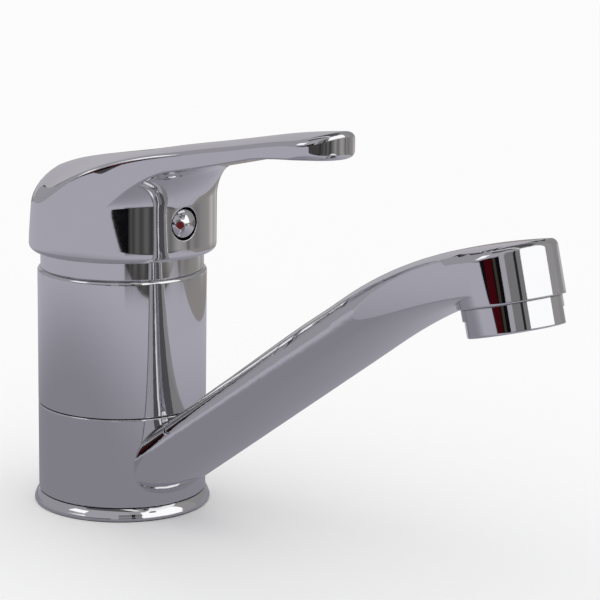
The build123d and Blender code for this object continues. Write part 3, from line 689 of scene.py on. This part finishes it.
def handle_rows():
    """Rows of points from the middle of the ceiling, down the bore, up the outside and over the top."""
    x, reach, out_x, out_reach = handle_outline()
    radius = np.hypot(x, reach)
    turn_x, turn_reach = x / radius, reach / radius
    tip = eased(reach, TIP_START, TIP_START + TIP_LENGTH)
    back = eased(np.abs(np.arctan2(x, reach)), SHOULDER_START, SHOULDER_END)
    top = TOP_EDGE + (TOP_EDGE_TIP - TOP_EDGE) * tip + (SHOULDER - TOP_EDGE) * back
    rows = []

    # Ceiling and bore. At the back the ceiling comes down with the shoulder.
    bore_x, bore_reach = turn_x * SKIRT_BORE_R, turn_reach * SKIRT_BORE_R
    for share in np.linspace(0, 1, 6):
        fall = SHOULDER * back * share ** SHOULDER_FALL
        ceiling = crown(bore_x * share, bore_reach * share) - TOP_WALL - fall
        rows.append(points(bore_x * share, bore_reach * share, ceiling))
    for share in BORE_SHARES:
        rows.append(points(bore_x, bore_reach, ceiling + (SKIRT_BOTTOM - ceiling) * share))

    # Bottom edge and outside of the skirt.
    for turn in np.linspace(-pi / 2, 0, 7):
        ring = SKIRT_R - SKIRT_EDGE + SKIRT_EDGE * cos(turn)
        rows.append(points(turn_x * ring, turn_reach * ring, SKIRT_BOTTOM + SKIRT_EDGE * (1 + sin(turn))))
    wall_start = SKIRT_BOTTOM + SKIRT_EDGE
    wall_end = np.minimum(FLARE_START, crown(x, reach) - top - TOP_EDGE)
    for share in shares(7):
        z = wall_start + (wall_end - wall_start) * share
        rows.append(points(turn_x * SKIRT_R, turn_reach * SKIRT_R, z))

    # Flare, underside of the arm and the round of its low edge. Where there is no arm they have no
    # width, and all their points lie at the top of the skirt's wall.
    arm = radius > SKIRT_R + TOUCH
    low_limit = LOW_EDGE + (LOW_EDGE_TIP - LOW_EDGE) * tip
    low = np.clip(LOW_EDGE_SHARE * (radius - SKIRT_R), 0, low_limit)
    inner_x, inner_reach = x - out_x * low, reach - out_reach * low
    inner = np.hypot(inner_x, inner_reach)
    for share in shares(18):
        ring = SKIRT_R + (inner - SKIRT_R) * share ** UNDERSIDE_CROWDING
        z = np.where(arm, underside(ring), wall_end)
        rows.append(points(inner_x / inner * ring, inner_reach / inner * ring, z))
    foot = np.where(arm, underside(radius), wall_end)
    start = rows[-1]
    corner, side = points(x, reach, foot), points(x, reach, foot + low)
    for share in shares(6):
        rows.append(rounded(start, corner, side, share))

    # Side, round of the top edge, and top.
    corner = points(x, reach, crown(x, reach))
    side_end = corner - (0, 0, 1) * top[:, None]
    for share in shares(6):
        rows.append(side + (side_end - side) * share)
    x, reach = x - out_x * top, reach - out_reach * top
    rim = points(x, reach, crown(x, reach))
    for share in shares(7):
        rows.append(rounded(side_end, corner, rim, share))
    middle = np.clip(reach, 0, TIP_REACH - ARM_HALF)
    for share in shares(17):
        across, along = x * (1 - share), reach + (middle - reach) * share
        rows.append(points(across, along, crown(across, along)))

    # The back wall leans in towards its top, and the bore keeps its place.
    rows = np.array(rows)
    outside = np.arange(len(rows)) >= INNER_ROWS
    height = eased(rows[:, :, 2], SKIRT_BOTTOM, LEAN_TOP)
    draw = back * (BACK_DRAW + BACK_LEAN * height) * outside[:, None]
    rows[:, :, :2] *= (1 - draw / SKIRT_R)[:, :, None]
    return rows


POLE_GAP = 2e-6
rows = handle_rows()
bpy.ops.mesh.primitive_grid_add(x_subdivisions=rows.shape[1] - 1, y_subdivisions=rows.shape[0] - 1)
handle = bpy.context.object
handle.name = "handle_casting"
handle.data.vertices.foreach_set("co", rows.reshape(-1))
bpy.ops.object.mode_set(mode="EDIT")
bpy.ops.mesh.select_all(action="SELECT")
bpy.ops.mesh.remove_doubles(threshold=POLE_GAP)
bpy.ops.mesh.normals_make_consistent(inside=False)
bpy.ops.object.mode_set(mode="OBJECT")


def combine(piece, tool, operation):
    """Joins a tool shape to a piece, or cuts it away, and closes the mesh again."""
    step = piece.modifiers.new("combine", "BOOLEAN")
    step.operation = operation
    step.object = tool
    pick(piece)
    bpy.ops.object.modifier_apply(modifier=step.name)
    bpy.data.objects.remove(tool)
    bpy.ops.object.mode_set(mode="EDIT")
    bpy.ops.mesh.select_all(action="SELECT")
    bpy.ops.mesh.remove_doubles(threshold=MERGE_GAP)
    bpy.ops.mesh.fill_holes(sides=0)
    bpy.ops.mesh.normals_make_consistent(inside=False)
    bpy.ops.object.mode_set(mode="OBJECT")


HUB_R = 0.008
HUB_BOTTOM = 0.0835
HUB_TOP = 0.1020
WEB_TOP = 0.1045
WEB_HALF = 0.005
WEB_INTO_WALL = 0.001
CAP_MIDDLE = 0.065
CAP_SPACE_R = 0.0282
CAP_OPENING_R = 0.0176
CUT_THROUGH = 0.1
STEM_HALF = 0.0041
STEM_TOP = 0.1
SOCKET_DEPTH = 0.04
HOLE_R = 0.00485
HOLE_Z = 0.0875
HOLE_FLOOR = 0.0261
HOLE_DEPTH = 0.004
ROUND_SIDES = 96
HUB_SIDES = 64
SMOOTH_TURN = radians(35)

# A web runs from the hub to the front of the skirt, cut away below so that it clears the cap ring.
bpy.ops.mesh.primitive_cube_add(size=1, location=(0, -SKIRT_BORE_R / 2, (HUB_BOTTOM + WEB_TOP) / 2),
                                scale=(2 * WEB_HALF, SKIRT_BORE_R + WEB_INTO_WALL, WEB_TOP - HUB_BOTTOM))
web = bpy.context.object
bpy.ops.mesh.primitive_uv_sphere_add(segments=ROUND_SIDES, ring_count=ROUND_SIDES // 2,
                                     radius=CAP_SPACE_R, location=(0, 0, CAP_MIDDLE))
cap_space = bpy.context.object
bpy.ops.mesh.primitive_cylinder_add(vertices=ROUND_SIDES, radius=CAP_OPENING_R, depth=CUT_THROUGH,
                                    location=(0, 0, CAP_MIDDLE))
combine(cap_space, bpy.context.object, "DIFFERENCE")
combine(web, cap_space, "DIFFERENCE")

# The hub has a square socket for the stem.
bpy.ops.mesh.primitive_cylinder_add(vertices=HUB_SIDES, radius=HUB_R, depth=HUB_TOP - HUB_BOTTOM,
                                    location=(0, 0, (HUB_BOTTOM + HUB_TOP) / 2))
hub = bpy.context.object
combine(hub, web, "UNION")
bpy.ops.mesh.primitive_cube_add(size=1, location=(0, 0, STEM_TOP - SOCKET_DEPTH / 2),
                                scale=(2 * STEM_HALF, 2 * STEM_HALF, SOCKET_DEPTH))
combine(hub, bpy.context.object, "DIFFERENCE")
combine(handle, hub, "UNION")

# The hole for the plug is sunk into the front of the skirt.
bpy.ops.mesh.primitive_cylinder_add(vertices=ROUND_SIDES, radius=HOLE_R, depth=HOLE_DEPTH,
                                    rotation=(pi / 2, 0, 0),
                                    location=(0, -HOLE_FLOOR - HOLE_DEPTH / 2, HOLE_Z))
combine(handle, bpy.context.object, "DIFFERENCE")
pick(handle)
bpy.ops.object.shade_smooth_by_angle(angle=SMOOTH_TURN)
handle.data.materials.clear()
handle.data.materials.append(chrome)
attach(handle, "lever")
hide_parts("lever_handle")


# Index button. A turned and chromed brass plug pushed into the screw hole, with two shallow dimples
# that are filled with glossy enamel: dark red for hot on the left, near-black blue for cold.
ENAMEL_COAT = 0.5
ENAMELS = (("red", "hot", (0.13, 0.004, 0.008)), ("blue", "cold", (0.010, 0.009, 0.030)))
dress(chrome, "index_plug")
for name, side, color in ENAMELS:
    enamel = paint(f"{name}_enamel", color, roughness=0.20,
                   grain=0.0004, shade=0.25, wear=0.06, relief=0.00001)
    shader_of(enamel).inputs["Coat Weight"].default_value = ENAMEL_COAT
    dress(enamel, f"{side}_dot")


# View. Colours are shown as they are painted.
scene = bpy.context.scene
scene.view_settings.view_transform = "Standard"
